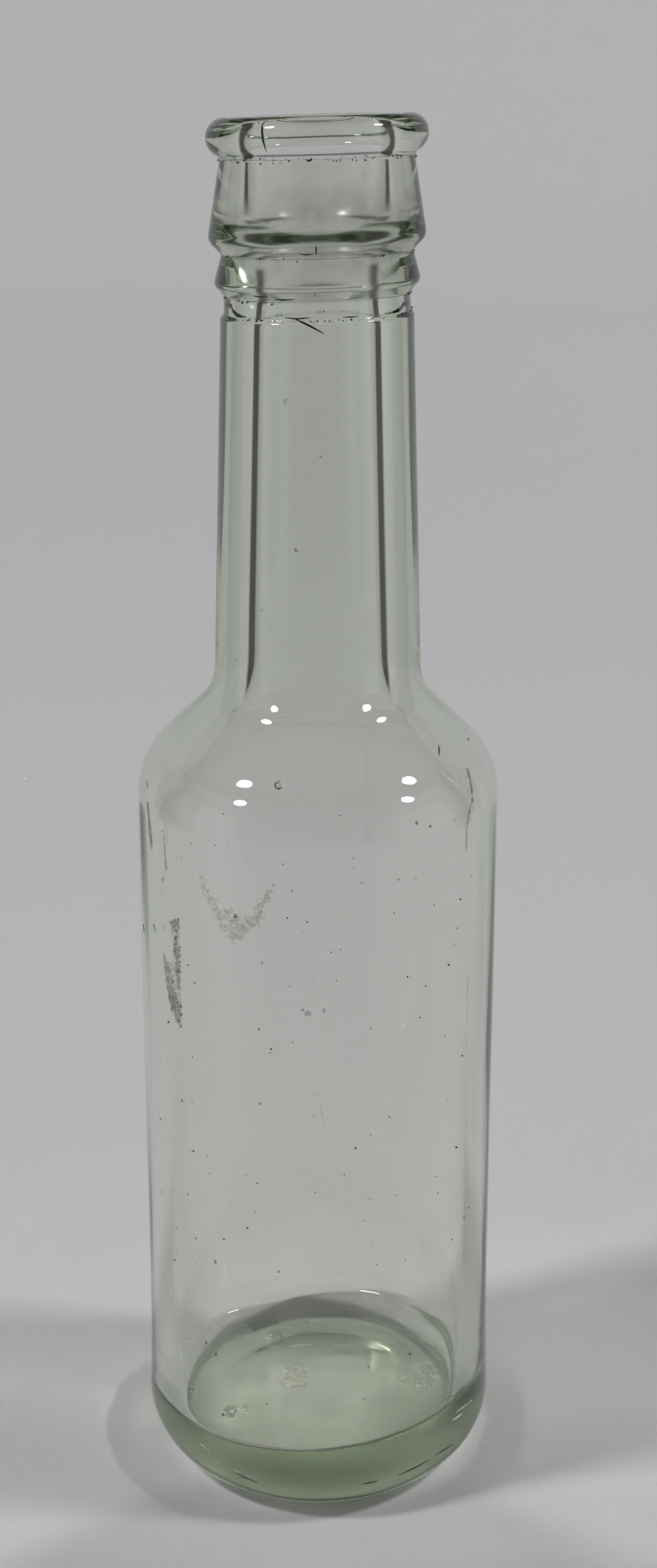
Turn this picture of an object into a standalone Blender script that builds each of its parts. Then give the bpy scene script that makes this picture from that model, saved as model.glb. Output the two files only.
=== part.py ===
"""A small empty glass sauce bottle: a round body on a thick base, a sloping shoulder, a long neck and a
moulded mouth with a lip, a collar and a bead. It is one piece of glass, turned about Z.

Metres, +Z up. The origin is the middle of the ring that the bottle stands on.
"""

import math

import bmesh
import bpy
from mathutils import Vector

MM = 0.001

# Whole bottle, and how finely its round parts are stepped
HEIGHT = 184.0 * MM
SIDES = 48
ARC_STEP = math.radians(19)
SWELL_STEPS = 3
DOME_STEPS = 4
SHARP_EDGE = math.radians(50)
WELD = 0.001 * MM

# Outside of the body
BODY_RADIUS = 24.15 * MM
HEEL_RADIUS = 24.5 * MM
HEEL_TOP = 8.3 * MM
HEEL_FADE = 16.0 * MM
HEEL_ARC = 9.0 * MM
HEEL_TURN = math.radians(55)
FOOT_ARC = 5.1 * MM
SHOULDER_RADIUS = 24.0 * MM
SHOULDER_HEIGHT = 102.7 * MM
SHOULDER_ARC = 10.7 * MM
SHOULDER_SLOPE = math.tan(math.radians(44))

# Underside
RING_WIDTH = 2.2 * MM
PUSH_UP = 1.5 * MM

# Outside of the neck
NECK_ROOT_RADIUS = 13.55 * MM
NECK_ROOT_ARC = 6.5 * MM
NECK_TOP = (12.1 * MM, 160.2 * MM)
NECK_TOP_ARC = 0.6 * MM

# Mouth: each tier is sharp below and tapers upwards into the groove over it. Under the bead, a narrow band
# is set in from the neck.
GROOVE_ARC = 0.45 * MM
BAND_FOOT = (11.65 * MM, 160.75 * MM)
BAND_ARC = 0.4 * MM
LOW_GROOVE = (11.6 * MM, 162.9 * MM)
BEAD = (12.85 * MM, 164.3 * MM)
BEAD_ARC = 1.0 * MM
MIDDLE_GROOVE = (11.85 * MM, 167.9 * MM)
COLLAR = (13.5 * MM, 169.6 * MM)
COLLAR_ARC = 1.5 * MM
TOP_GROOVE = (11.93 * MM, 179.2 * MM)
LIP_RADIUS = 13.6 * MM
LIP_ROUND = 2.35 * MM
LIP_UNDERCUT = math.radians(62)

# Inside, from the floor to the mouth
WALL = 3.25 * MM
SLOPE_WALL = 3.9 * MM
FLOOR = 9.7 * MM
FLOOR_CROWN = 0.5 * MM
FLOOR_ARC = 1.5 * MM
BORE_ROOT_RADIUS = 8.5 * MM
BORE_ROOT_ARC = 12.0 * MM
BORE_TOP = (7.2 * MM, 159.0 * MM)
THROAT_RADIUS = 6.8 * MM
THROAT_BOTTOM = 162.5 * MM
NECKING_ARC = 8.0 * MM
THROAT_TOP = 169.2 * MM
THROAT_ARC = 0.5 * MM
SEAT_HEIGHT = 170.8 * MM
SEAT_ARC = 4.0 * MM
MOUTH_RADIUS = 8.5 * MM
MOUTH_FLARE = 178.6 * MM

# The glass set unevenly: the floor and the mouth both run higher towards +X
FLOOR_TILT = math.tan(math.radians(3.8))
FLOOR_TILT_FADE = 30.0 * MM
MOUTH_TILT = math.tan(math.radians(1.5))
MOUTH_TILT_FROM = 148.0 * MM
MOUTH_TILT_FULL = 163.0 * MM


def arc(centre_r, centre_z, radius, start, end):
    """Points of an arc in the profile plane, with both ends, from one angle to another."""
    steps = max(2, math.ceil(abs(end - start) / ARC_STEP))
    angles = [start + (end - start) * i / steps for i in range(steps + 1)]
    return [(centre_r + radius * math.cos(a), centre_z + radius * math.sin(a)) for a in angles]


def rounded(corners):
    """A line through corners of (r, z, arc radius), each rounded off by its arc."""
    points = [corners[0][:2]]
    for before, corner, after in zip(corners, corners[1:], corners[2:]):
        here = Vector(corner[:2])
        back = (Vector(before[:2]) - here).normalized()
        forward = (Vector(after[:2]) - here).normalized()
        turn = math.pi - back.angle(forward)
        reach = corner[2] * math.tan(turn / 2)
        middle = here + (back + forward).normalized() * math.hypot(reach, corner[2])
        first = here + back * reach - middle
        last = here + forward * reach - middle
        start = math.atan2(first.y, first.x)
        swing = math.remainder(math.atan2(last.y, last.x) - start, math.tau)
        points += arc(middle.x, middle.y, corner[2], start, start + swing)
    points.append(corners[-1][:2])
    return points


def inside():
    """From the middle of the floor, up the body wall, the shoulder and the bore, to the lip."""
    body = BODY_RADIUS - WALL
    # The sloping wall's thickness is measured square to the slope
    slope_drop = SLOPE_WALL * math.hypot(1, SHOULDER_SLOPE)
    shoulder = SHOULDER_HEIGHT + (SHOULDER_RADIUS - body) * SHOULDER_SLOPE - slope_drop
    bore_root = shoulder + (body - BORE_ROOT_RADIUS) * SHOULDER_SLOPE
    lip_bore = LIP_RADIUS - 2 * LIP_ROUND
    return rounded([
        (0.0, FLOOR + FLOOR_CROWN, 0.0),
        (body, FLOOR, FLOOR_ARC),
        (body, shoulder, SHOULDER_ARC - WALL),
        (BORE_ROOT_RADIUS, bore_root, BORE_ROOT_ARC),
        (*BORE_TOP, NECKING_ARC),
        (THROAT_RADIUS, THROAT_BOTTOM, NECKING_ARC),
        (THROAT_RADIUS, THROAT_TOP, THROAT_ARC),
        (MOUTH_RADIUS, SEAT_HEIGHT, SEAT_ARC),
        (MOUTH_RADIUS, MOUTH_FLARE, LIP_ROUND),
        (lip_bore, HEIGHT - LIP_ROUND, 0.0),
    ])


def lip():
    """Over the round lip, from its bore side to the groove under its outer side."""
    return arc(LIP_RADIUS - LIP_ROUND, HEIGHT - LIP_ROUND, LIP_ROUND, math.pi, -LIP_UNDERCUT)


def tiers_and_neck():
    """Down the collar, the bead, the neck, the shoulder and the body, to where the heel starts to swell."""
    neck_root = SHOULDER_HEIGHT + (SHOULDER_RADIUS - NECK_ROOT_RADIUS) * SHOULDER_SLOPE
    return rounded([
        lip()[-1],
        (*TOP_GROOVE, GROOVE_ARC),
        (*COLLAR, COLLAR_ARC),
        (*MIDDLE_GROOVE, GROOVE_ARC),
        (*BEAD, BEAD_ARC),
        (*LOW_GROOVE, GROOVE_ARC),
        (*BAND_FOOT, BAND_ARC),
        (*NECK_TOP, NECK_TOP_ARC),
        (NECK_ROOT_RADIUS, neck_root, NECK_ROOT_ARC),
        (SHOULDER_RADIUS, SHOULDER_HEIGHT, SHOULDER_ARC),
        (BODY_RADIUS, HEEL_TOP + HEEL_FADE),
    ])


def heel():
    """The body swells a little down to the heel, which rounds under to the ring it stands on."""
    swell = []
    for i in range(1, SWELL_STEPS):
        part = i / SWELL_STEPS
        radius = BODY_RADIUS + (HEEL_RADIUS - BODY_RADIUS) * part**2
        swell.append((radius, HEEL_TOP + HEEL_FADE * (1 - part)))
    heel_arc = arc(HEEL_RADIUS - HEEL_ARC, HEEL_TOP, HEEL_ARC, 0.0, -HEEL_TURN)
    heel_end = heel_arc[-1]
    foot_r = heel_end[0] - FOOT_ARC * math.cos(HEEL_TURN)
    foot_arc = arc(foot_r, FOOT_ARC, FOOT_ARC, -HEEL_TURN, -math.pi / 2)
    return swell + heel_arc + foot_arc


def underside(ring_outer):
    """A flat ring, then a shallow push-up, to the middle."""
    ring_inner = ring_outer - RING_WIDTH
    dome = []
    for i in range(DOME_STEPS + 1):
        part = 1 - i / DOME_STEPS
        dome.append((ring_inner * part, PUSH_UP * (1 - part**2)))
    return dome


def ease(value, low, high):
    """0 below low, 1 above high, and a smooth change between them."""
    part = min(1.0, max(0.0, (value - low) / (high - low)))
    return part * part * (3 - 2 * part)


def glass_profile():
    """The section of the glass, from the middle of the floor over the lip to the middle of the underside."""
    heel_line = heel()
    line = inside() + lip()[1:] + tiers_and_neck()[1:] + heel_line + underside(heel_line[-1][0])
    profile = [line[0]]
    for point in line[1:]:
        if math.dist(point, profile[-1]) > WELD:
            profile.append(point)
    return profile


def turn_profile(profile):
    """Turns the section once round Z into one closed skin."""
    mesh = bmesh.new()
    verts = [mesh.verts.new((r, 0.0, z)) for r, z in profile]
    edges = [mesh.edges.new(pair) for pair in zip(verts, verts[1:])]
    bmesh.ops.spin(
        mesh, geom=verts + edges, axis=(0, 0, 1), cent=(0, 0, 0), angle=math.tau, steps=SIDES, use_merge=True
    )
    bmesh.ops.remove_doubles(mesh, verts=mesh.verts, dist=WELD)
    bmesh.ops.recalc_face_normals(mesh, faces=mesh.faces)
    return mesh


def set_unevenly(mesh):
    """Tilts the inner floor and the mouth, each fading out along the wall."""
    floor_top = FLOOR + FLOOR_ARC
    for vert in mesh.verts:
        radius = math.hypot(vert.co.x, vert.co.y)
        inside_wall = radius < BODY_RADIUS - WALL + WELD and vert.co.z > FLOOR - WELD
        floor = 1 - ease(vert.co.z, floor_top, floor_top + FLOOR_TILT_FADE) if inside_wall else 0.0
        mouth = ease(vert.co.z, MOUTH_TILT_FROM, MOUTH_TILT_FULL)
        vert.co.z += vert.co.x * (FLOOR_TILT * floor + MOUTH_TILT * mouth)


def glass_material():
    """Clear glass with a faint green cast."""
    material = bpy.data.materials.new("green_tinted_glass")
    material.use_nodes = True
    shader = material.node_tree.nodes["Principled BSDF"]
    shader.inputs["Base Color"].default_value = (0.72, 0.82, 0.75, 1.0)
    shader.inputs["Roughness"].default_value = 0.03
    shader.inputs["Metallic"].default_value = 0.0
    shader.inputs["IOR"].default_value = 1.52
    shader.inputs["Transmission Weight"].default_value = 0.9
    return material


def make_bottle():
    """The one solid: the whole bottle, open at its mouth."""
    mesh = turn_profile(glass_profile())
    set_unevenly(mesh)
    data = bpy.data.meshes.new("bottle")
    mesh.to_mesh(data)
    mesh.free()
    data.shade_smooth()
    data.set_sharp_from_angle(angle=SHARP_EDGE)
    data.materials.append(glass_material())
    bottle = bpy.data.objects.new("bottle", data)
    bpy.context.collection.objects.link(bottle)


for old in list(bpy.data.objects):
    bpy.data.objects.remove(old, do_unlink=True)
make_bottle()
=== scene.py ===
"""A small empty sauce bottle of pale green glass, old and a little dirty, standing on a pale floor.

The sections follow the bottle as it is put together: the turned glass with its bubbles, what has dried
on the inside of it, and the marks on the outside. Some of these marks, and parts of the floor, are painted
shade and painted light. The floor, the lamps and the camera come last.
"""

import math
import random

import bmesh
import bpy
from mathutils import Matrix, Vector


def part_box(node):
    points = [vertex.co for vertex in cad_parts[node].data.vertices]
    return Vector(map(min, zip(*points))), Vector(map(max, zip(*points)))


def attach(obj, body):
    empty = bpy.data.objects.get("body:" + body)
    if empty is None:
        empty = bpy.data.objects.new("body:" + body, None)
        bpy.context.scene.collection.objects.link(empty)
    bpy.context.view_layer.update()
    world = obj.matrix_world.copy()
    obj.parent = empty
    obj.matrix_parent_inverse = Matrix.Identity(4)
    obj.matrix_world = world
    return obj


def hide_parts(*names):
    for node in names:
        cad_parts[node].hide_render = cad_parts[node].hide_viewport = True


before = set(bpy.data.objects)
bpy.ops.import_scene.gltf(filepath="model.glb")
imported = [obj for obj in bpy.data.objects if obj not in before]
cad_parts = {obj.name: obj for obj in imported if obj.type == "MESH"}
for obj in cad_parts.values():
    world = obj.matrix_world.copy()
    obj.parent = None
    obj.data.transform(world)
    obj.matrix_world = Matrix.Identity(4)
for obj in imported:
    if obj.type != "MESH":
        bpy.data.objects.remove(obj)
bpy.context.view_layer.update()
low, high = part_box("bottle")
MM = 0.001


# The glass: one thick-walled bottle, blown and pressed in a mould. Its section is drawn from the middle
# of the floor, up the inside, over the lip and down the outside, and turned about Z. The inner wall is
# wavy, and the floor and the mouth both set a little higher on the right.
HEIGHT = 184.0 * MM
HEEL_RADIUS = (high.x - low.x) / 2
HEEL_TOP = 8.3 * MM
HEEL_FADE = 16.0 * MM
HEEL_ARC = 9.0 * MM
HEEL_TURN = math.radians(55)
FOOT_ARC = 5.1 * MM
RING_WIDTH = 2.2 * MM
PUSH_UP = 1.5 * MM
BODY_RADIUS = HEEL_RADIUS - 0.35 * MM
SHOULDER_RADIUS = BODY_RADIUS - 0.15 * MM
SHOULDER_HEIGHT = 102.7 * MM
SHOULDER_ARC = 10.7 * MM
SHOULDER_SLOPE = math.tan(math.radians(44))
NECK_ROOT_RADIUS = 13.55 * MM
NECK_ROOT_ARC = 6.5 * MM
BAND_ARC = 0.4 * MM
BAND_FOOT = (11.65 * MM, 160.75 * MM)
NECK_TOP = (12.1 * MM, 160.2 * MM)
NECK_TOP_ARC = 0.6 * MM
GROOVE_ARC = 0.45 * MM
LOW_GROOVE = (11.6 * MM, 162.9 * MM)
BEAD = (12.85 * MM, 164.3 * MM)
BEAD_ARC = 1.0 * MM
MIDDLE_GROOVE = (11.85 * MM, 167.9 * MM)
COLLAR = (13.5 * MM, 169.6 * MM)
COLLAR_ARC = 1.5 * MM
TOP_GROOVE = (11.93 * MM, 179.2 * MM)
LIP_RADIUS = 13.6 * MM
LIP_ROUND = 2.35 * MM
LIP_UNDERCUT = math.radians(62)
WALL = 3.25 * MM
SLOPE_WALL = 3.9 * MM
FLOOR_HEIGHT = 9.7 * MM
FLOOR_CROWN = 0.5 * MM
FLOOR_ARC = 1.5 * MM
BORE_ROOT_RADIUS = 8.5 * MM
BORE_ROOT_ARC = 12.0 * MM
BORE_TOP = (7.2 * MM, 159.0 * MM)
THROAT_RADIUS = 6.8 * MM
THROAT_BOTTOM = 162.5 * MM
NECKING_ARC = 8.0 * MM
THROAT_TOP = 169.2 * MM
THROAT_ARC = 0.5 * MM
SEAT_HEIGHT = 170.8 * MM
SEAT_ARC = 4.0 * MM
MOUTH_RADIUS = 8.5 * MM
MOUTH_FLARE = 178.6 * MM
FLOOR_TILT = math.tan(math.radians(3.8))
FLOOR_TILT_FADE = 30.0 * MM
MOUTH_TILT = math.tan(math.radians(1.5))
MOUTH_TILT_FROM = 148.0 * MM
MOUTH_TILT_FULL = 163.0 * MM
INNER_RADIUS = BODY_RADIUS - WALL
TURNED_SIDES = 200
ARC_STEP = math.radians(6)
LONGEST_STEP = 1.5 * MM
WELD = 0.001 * MM


def arc(centre_r, centre_z, radius, start, end):
    """Points of an arc in the section, with both ends, from one angle to another."""
    steps = max(2, math.ceil(abs(end - start) / ARC_STEP))
    angles = [start + (end - start) * i / steps for i in range(steps + 1)]
    return [(centre_r + radius * math.cos(a), centre_z + radius * math.sin(a)) for a in angles]


def rounded(corners):
    """A line through corners of (r, z, arc radius), each rounded off by its arc."""
    points = [corners[0][:2]]
    for before, corner, after in zip(corners, corners[1:], corners[2:]):
        here = Vector(corner[:2])
        back = (Vector(before[:2]) - here).normalized()
        forward = (Vector(after[:2]) - here).normalized()
        reach = corner[2] * math.tan((math.pi - back.angle(forward)) / 2)
        middle = here + (back + forward).normalized() * math.hypot(reach, corner[2])
        first = here + back * reach - middle
        last = here + forward * reach - middle
        start = math.atan2(first.y, first.x)
        swing = math.remainder(math.atan2(last.y, last.x) - start, math.tau)
        points += arc(middle.x, middle.y, corner[2], start, start + swing)
    points.append(corners[-1][:2])
    return points


def inside_line():
    """From the middle of the floor, up the body wall, the shoulder and the bore, to the lip."""
    drop = SLOPE_WALL * math.hypot(1, SHOULDER_SLOPE)
    shoulder = SHOULDER_HEIGHT + (SHOULDER_RADIUS - INNER_RADIUS) * SHOULDER_SLOPE - drop
    bore_root = shoulder + (INNER_RADIUS - BORE_ROOT_RADIUS) * SHOULDER_SLOPE
    return rounded([
        (0.0, FLOOR_HEIGHT + FLOOR_CROWN, 0.0),
        (INNER_RADIUS, FLOOR_HEIGHT, FLOOR_ARC),
        (INNER_RADIUS, shoulder, SHOULDER_ARC - WALL),
        (BORE_ROOT_RADIUS, bore_root, BORE_ROOT_ARC),
        (*BORE_TOP, NECKING_ARC),
        (THROAT_RADIUS, THROAT_BOTTOM, NECKING_ARC),
        (THROAT_RADIUS, THROAT_TOP, THROAT_ARC),
        (MOUTH_RADIUS, SEAT_HEIGHT, SEAT_ARC),
        (MOUTH_RADIUS, MOUTH_FLARE, LIP_ROUND),
        (LIP_RADIUS - 2 * LIP_ROUND, HEIGHT - LIP_ROUND, 0.0),
    ])


def outside_line():
    """Over the lip, down the collar, the bead, the neck and the body, and under the base."""
    lip = arc(LIP_RADIUS - LIP_ROUND, HEIGHT - LIP_ROUND, LIP_ROUND, math.pi, -LIP_UNDERCUT)
    neck_root = SHOULDER_HEIGHT + (SHOULDER_RADIUS - NECK_ROOT_RADIUS) * SHOULDER_SLOPE
    side = rounded([
        lip[-1],
        (*TOP_GROOVE, GROOVE_ARC),
        (*COLLAR, COLLAR_ARC),
        (*MIDDLE_GROOVE, GROOVE_ARC),
        (*BEAD, BEAD_ARC),
        (*LOW_GROOVE, GROOVE_ARC),
        (*BAND_FOOT, BAND_ARC),
        (*NECK_TOP, NECK_TOP_ARC),
        (NECK_ROOT_RADIUS, neck_root, NECK_ROOT_ARC),
        (SHOULDER_RADIUS, SHOULDER_HEIGHT, SHOULDER_ARC),
        (BODY_RADIUS, HEEL_TOP + HEEL_FADE),
    ])
    swell_steps = 12
    swell = []
    for i in range(1, swell_steps):
        part = i / swell_steps
        radius = BODY_RADIUS + (HEEL_RADIUS - BODY_RADIUS) * part**2
        swell.append((radius, HEEL_TOP + HEEL_FADE * (1 - part)))
    heel = arc(HEEL_RADIUS - HEEL_ARC, HEEL_TOP, HEEL_ARC, 0.0, -HEEL_TURN)
    foot_r = heel[-1][0] - FOOT_ARC * math.cos(HEEL_TURN)
    foot = arc(foot_r, FOOT_ARC, FOOT_ARC, -HEEL_TURN, -math.pi / 2)
    ring_inner = foot_r - RING_WIDTH
    dome_steps = 16
    dome = []
    for i in range(dome_steps + 1):
        part = 1 - i / dome_steps
        dome.append((ring_inner * part, PUSH_UP * (1 - part**2)))
    return lip + side + swell + heel + foot + dome


def evenly(line):
    """The line without doubled points, and with long straight runs cut into short ones."""
    out = [line[0]]
    for point in line[1:]:
        gap = math.dist(point, out[-1])
        if gap < WELD:
            continue
        before = out[-1]
        steps = math.ceil(gap / LONGEST_STEP)
        for i in range(1, steps + 1):
            out.append(tuple(a + (b - a) * i / steps for a, b in zip(before, point)))
    return out


def node(tree, kind, inputs=None, **settings):
    """Adds a node to a tree. Each input, by name or number, is linked from a socket or set to a value."""
    made = tree.nodes.new(kind)
    for name, value in settings.items():
        setattr(made, name, value)
    for name, value in (inputs or {}).items():
        if isinstance(value, bpy.types.NodeSocket):
            tree.links.new(value, made.inputs[name])
        else:
            made.inputs[name].default_value = value
    return made


def math_node(tree, operation, *values):
    """A Math node's result, from sockets or numbers."""
    return node(tree, "ShaderNodeMath", dict(enumerate(values)), operation=operation).outputs[0]


def plus(tree, first, second):
    return math_node(tree, "ADD", first, second)


def minus(tree, first, second):
    return math_node(tree, "SUBTRACT", first, second)


def times(tree, first, second):
    return math_node(tree, "MULTIPLY", first, second)


def vector_math(tree, operation, first, second=None, **inputs):
    """A Vector Math node's result, from sockets or vectors."""
    given = {0: first, **inputs} if second is None else {0: first, 1: second}
    return node(tree, "ShaderNodeVectorMath", given, operation=operation).outputs[0]


def split(tree, vector):
    """A vector's three numbers, by the names X, Y and Z."""
    return node(tree, "ShaderNodeSeparateXYZ", {0: vector}).outputs


def joined(tree, x=0.0, y=0.0, z=0.0):
    """A vector made of three numbers."""
    return node(tree, "ShaderNodeCombineXYZ", {"X": x, "Y": y, "Z": z}).outputs[0]


def new_tree(name, sizes):
    """A geometry tree that takes and gives geometry, with a named number or material for each size."""
    tree = bpy.data.node_groups.new(name, "GeometryNodeTree")
    tree.interface.new_socket("Geometry", in_out="OUTPUT", socket_type="NodeSocketGeometry")
    tree.interface.new_socket("Geometry", in_out="INPUT", socket_type="NodeSocketGeometry")
    kinds = {int: "NodeSocketInt", float: "NodeSocketFloat", bpy.types.Material: "NodeSocketMaterial"}
    for label, value in sizes.items():
        tree.interface.new_socket(label, in_out="INPUT", socket_type=kinds[type(value)])
    return tree, tree.nodes.new("NodeGroupInput").outputs, tree.nodes.new("NodeGroupOutput").inputs


def end_tree(tree, geometry, given, result):
    """Gives the tree's geometry its material and passes it out."""
    finished = node(tree, "GeometryNodeSetMaterial", {"Geometry": geometry, "Material": given["Material"]})
    tree.links.new(finished.outputs[0], result[0])


def add_object(name, data):
    """An object at the origin, in the scene."""
    made = bpy.data.objects.new(name, data)
    bpy.context.scene.collection.objects.link(made)
    return made


def grow(name, seed_mesh, tree, sizes):
    """Runs the tree on the seed mesh with these sizes, and returns the result as a plain mesh object."""
    seed = add_object(name + "_seed", seed_mesh)
    growing = seed.modifiers.new(name, "NODES")
    growing.node_group = tree
    for item in tree.interface.items_tree:
        if item.in_out == "INPUT" and item.name in sizes:
            growing[item.identifier] = sizes[item.name]
    evaluated = seed.evaluated_get(bpy.context.evaluated_depsgraph_get())
    mesh = bpy.data.meshes.new_from_object(evaluated)
    mesh.name = name
    bpy.data.objects.remove(seed, do_unlink=True)
    return add_object(name, mesh)


def ramp(tree, value, start, end):
    """0 at start and before, 1 at end and after, with a smooth change between."""
    inputs = {"Value": value, "From Min": start, "From Max": end}
    return node(tree, "ShaderNodeMapRange", inputs, interpolation_type="SMOOTHSTEP").outputs[0]


def turning_tree(sizes):
    """Turns a section line round Z, tilts its floor and its mouth, and makes its two walls wavy."""
    tree, given, result = new_tree("turned_glass", sizes)
    counted = node(tree, "GeometryNodeAttributeDomainSize", {"Geometry": given["Geometry"]})
    rows = counted.outputs["Point Count"]
    grid = node(tree, "GeometryNodeMeshGrid", {
        "Vertices X": plus(tree, given["Sides"], 1.0), "Vertices Y": rows,
    })
    share = split(tree, grid.outputs["UV Map"])
    row = math_node(tree, "ROUND", times(tree, share["Y"], minus(tree, rows, 1.0)))
    section_point = node(tree, "GeometryNodeSampleIndex", {
        "Geometry": given["Geometry"], "Index": row,
    }, data_type="FLOAT_VECTOR")
    tree.links.new(tree.nodes.new("GeometryNodeInputPosition").outputs[0], section_point.inputs["Value"])
    point = split(tree, section_point.outputs[0])
    angle = times(tree, share["X"], math.tau)
    cosine = math_node(tree, "COSINE", angle)
    sine = math_node(tree, "SINE", angle)

    # The waves: long up and down, shorter round, deeper inside than outside, and all but gone in the neck
    is_inside = math_node(tree, "LESS_THAN", row, given["Inside rows"])
    on_circle = joined(
        tree,
        times(tree, cosine, given["Waves round"]),
        times(tree, sine, given["Waves round"]),
        times(tree, point["Z"], given["Waves up"]),
    )
    shift = joined(tree, x=given["Seed"], z=times(tree, is_inside, given["Inner shift"]))
    noise = node(tree, "ShaderNodeTexNoise", {
        "Vector": vector_math(tree, "ADD", on_circle, shift), "Scale": 1.0, "Detail": 1.0,
    })
    depth = node(tree, "ShaderNodeMix", {
        "Factor": is_inside, "A": given["Outer waves"], "B": given["Inner waves"],
    }).outputs[0]
    calm = ramp(tree, point["Z"], given["Calm above"], given["Calm below"])
    left = plus(tree, times(tree, calm, minus(tree, 1.0, given["Neck waves"])), given["Neck waves"])
    wave = times(tree, minus(tree, noise.outputs[0], 0.5), times(tree, depth, left))
    off_axis = math_node(tree, "GREATER_THAN", point["X"], given["Still radius"])
    radius = plus(tree, point["X"], times(tree, wave, off_axis))

    # The tilts
    fade_end = plus(tree, given["Floor top"], given["Floor fade"])
    floor_fade = ramp(tree, point["Z"], given["Floor top"], fade_end)
    floor_part = times(tree, minus(tree, 1.0, floor_fade), is_inside)
    mouth_part = ramp(tree, point["Z"], given["Mouth from"], given["Mouth full"])
    floor_slope = times(tree, floor_part, given["Floor tilt"])
    slope = plus(tree, floor_slope, times(tree, mouth_part, given["Mouth tilt"]))
    across = times(tree, radius, cosine)
    along = times(tree, radius, sine)
    height = plus(tree, point["Z"], times(tree, across, slope))
    placed = node(tree, "GeometryNodeSetPosition", {
        "Geometry": grid.outputs["Mesh"], "Position": joined(tree, across, along, height),
    })
    merged = node(tree, "GeometryNodeMergeByDistance", {"Geometry": placed.outputs[0], "Distance": WELD})
    outwards = node(tree, "GeometryNodeFlipFaces", {"Mesh": merged.outputs[0]})
    smooth = node(tree, "GeometryNodeSetShadeSmooth", {"Geometry": outwards.outputs[0]})
    realized = node(tree, "GeometryNodeRealizeInstances", {"Geometry": smooth.outputs[0]})
    end_tree(tree, realized.outputs[0], given, result)
    return tree


def new_material(name):
    """A material, its node tree and its shader."""
    material = bpy.data.materials.new(name)
    material.use_nodes = True
    return material, material.node_tree, material.node_tree.nodes["Principled BSDF"]


def from_axis(tree, at):
    """How far a point is from Z."""
    squares = plus(tree, math_node(tree, "POWER", at["X"], 2.0), math_node(tree, "POWER", at["Y"], 2.0))
    return math_node(tree, "SQRT", squares)


GLASS_INDEX = 1.52
GLASS_TINT = (0.85, 0.885, 0.81, 1.0)
TINT_DENSITY = 125.0
SMEAR_ROUGHNESS = 0.05
WORN_ROUGHNESS = 0.35
SEAT_ROUGHNESS = 0.2


def green_glass():
    """Clear glass that takes off more blue and red than green along its depth. It is faintly smeared,
    worn under the foot and uneven round the seat in the mouth."""
    material, tree, shader = new_material("pale_green_glass")
    shader.inputs["Base Color"].default_value = (1.0, 1.0, 1.0, 1.0)
    shader.inputs["IOR"].default_value = GLASS_INDEX
    shader.inputs["Transmission Weight"].default_value = 1.0
    where = tree.nodes.new("ShaderNodeTexCoord").outputs["Object"]
    smear = node(tree, "ShaderNodeTexNoise", {"Vector": where, "Scale": 90.0, "Detail": 3.0}).outputs[0]
    smeared = node(tree, "ShaderNodeMapRange", {
        "Value": smear, "From Min": 0.58, "From Max": 0.8, "To Min": 0.0, "To Max": SMEAR_ROUGHNESS,
    }).outputs[0]
    at = split(tree, where)
    worn = times(tree, ramp(tree, at["Z"], 3.0 * MM, 1.0 * MM), WORN_ROUGHNESS)
    over_throat = ramp(tree, at["Z"], 160.0 * MM, 166.0 * MM)
    under_lip = ramp(tree, at["Z"], 176.0 * MM, 172.0 * MM)
    in_bore = ramp(tree, from_axis(tree, at), 9.6 * MM, 9.0 * MM)
    seat = times(tree, times(tree, times(tree, over_throat, under_lip), in_bore), SEAT_ROUGHNESS)
    rough = math_node(tree, "MAXIMUM", math_node(tree, "MAXIMUM", smeared, worn), seat)
    tree.links.new(rough, shader.inputs["Roughness"])
    volume = node(tree, "ShaderNodeVolumeAbsorption", {"Color": GLASS_TINT, "Density": TINT_DENSITY})
    tree.links.new(volume.outputs[0], tree.nodes["Material Output"].inputs["Volume"])
    return material


def line_mesh(name, points):
    """A mesh of one line of points."""
    mesh = bpy.data.meshes.new(name)
    mesh.from_pydata(points, [(i, i + 1) for i in range(len(points) - 1)], [])
    return mesh


FOCAL_PIXELS = 3500
FRAME_PIXELS = (1080, 2576)
LOOK_DOWN = math.radians(18.15)
CAMERA_PLACE = Vector((0.0014, -0.2699, 0.1873))


def to_circle(start, way, radius):
    """Where a ray first meets the upright round wall of this radius round Z."""
    a = way.x**2 + way.y**2
    b = start.x * way.x + start.y * way.y
    c = start.x**2 + start.y**2 - radius**2
    root = math.sqrt(max(0.0, b * b - a * c))
    return start + way * ((-b - root) / a)


def bent(way, point, ratio):
    """The way of a ray after it goes inwards through an upright round wall at this point."""
    normal = Vector((point.x, point.y, 0.0)).normalized()
    cosine = -way.dot(normal)
    root = math.sqrt(max(0.0, 1 - ratio**2 * (1 - cosine**2)))
    return (way * ratio + normal * (ratio * cosine - root)).normalized()


def seen(px, row, outer, inner=None, floor=None):
    """The place that a pixel of the photograph shows: on the outer wall, on an inner wall behind it, or
    on the tilted floor at this height."""
    right = px - FRAME_PIXELS[0] / 2
    down = row - FRAME_PIXELS[1] / 2
    ahead = Vector((0.0, math.cos(LOOK_DOWN), -math.sin(LOOK_DOWN)))
    under = Vector((0.0, -math.sin(LOOK_DOWN), -math.cos(LOOK_DOWN)))
    way = (ahead * FOCAL_PIXELS + Vector((right, 0.0, 0.0)) + under * down).normalized()
    point = to_circle(CAMERA_PLACE, way, outer)
    if inner is None:
        return point
    way = bent(way, point, 1 / GLASS_INDEX)
    point = to_circle(point, way, inner)
    if floor is None:
        return point
    way = bent(way, point, GLASS_INDEX)
    return point + way * ((floor - point.z + FLOOR_TILT * point.x) / (way.z - FLOOR_TILT * way.x))


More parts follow.
